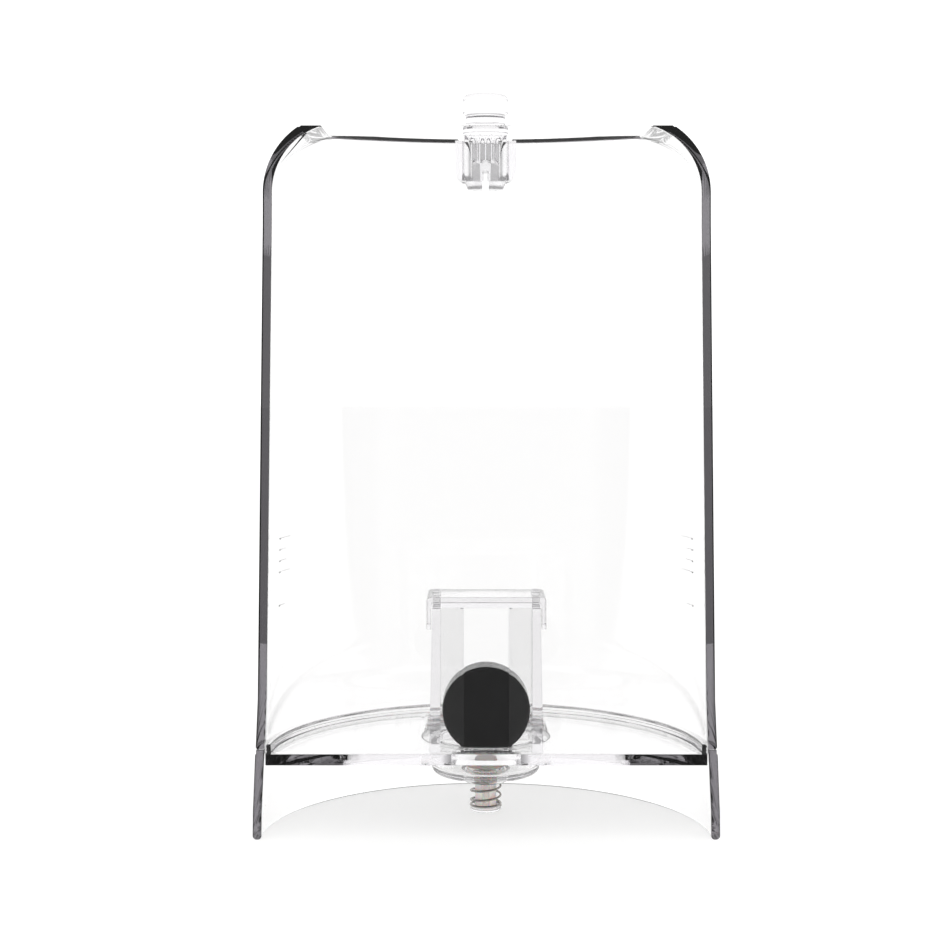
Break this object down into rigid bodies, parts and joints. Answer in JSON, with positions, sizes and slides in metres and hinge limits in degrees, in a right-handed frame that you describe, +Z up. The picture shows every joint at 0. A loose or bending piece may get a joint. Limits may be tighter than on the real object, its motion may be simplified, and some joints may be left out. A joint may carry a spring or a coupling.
{
  "type": "fresh water tank",
  "caption": "Clear half-round water tank with an open top, a flared base skirt, a caged float on its flat side and a spring valve under the floor.",
  "frame": {"origin": "middle of the footprint, on the surface that the skirt stands on", "axes": "+Z up, flat side faces -Y, curved side faces +Y, +X to the right seen from the flat side"},
  "size_m": [0.1638, 0.082, 0.265],
  "materials": {
    "clear_wall": "polished clear plastic",
    "clear_base": "polished clear plastic",
    "clear_fitting": "clear moulded plastic",
    "milky_stem": "milky moulded plastic",
    "silicone": "translucent silicone",
    "black_float": "glossy black plastic",
    "spring_steel": "drawn stainless wire",
    "magnet": "plated magnet"
  },
  "bodies": {
    "tank": {"curved_shell": "clear_wall", "rear_panel": "clear_wall", "base_skirt": "clear_base", "floor_plate": "clear_base", "outlet_cup": "clear_base", "float_cage": "clear_fitting", "cage_cap": "clear_fitting", "knob_socket": "clear_fitting", "lift_knob": "clear_fitting", "valve_spring": "spring_steel"},
    "float": {"float_front": "black_float", "float_back": "black_float", "float_magnet": "magnet"},
    "valve": {"valve_stem": "milky_stem", "valve_seal": "silicone", "spring_foot": "clear_fitting"}
  },
  "joints": [
    {"name": "float_rise", "type": "slide", "parent": "tank", "child": "float", "axis": [0, 0, 1], "range_m": [0, 0.0213]},
    {"name": "valve_lift", "type": "slide", "parent": "tank", "child": "valve", "axis": [0, 0, 1], "range_m": [0, 0.004], "stiffness_N_per_m": 400, "springref_m": -0.005, "deforming": ["valve_spring"]}
  ]
}
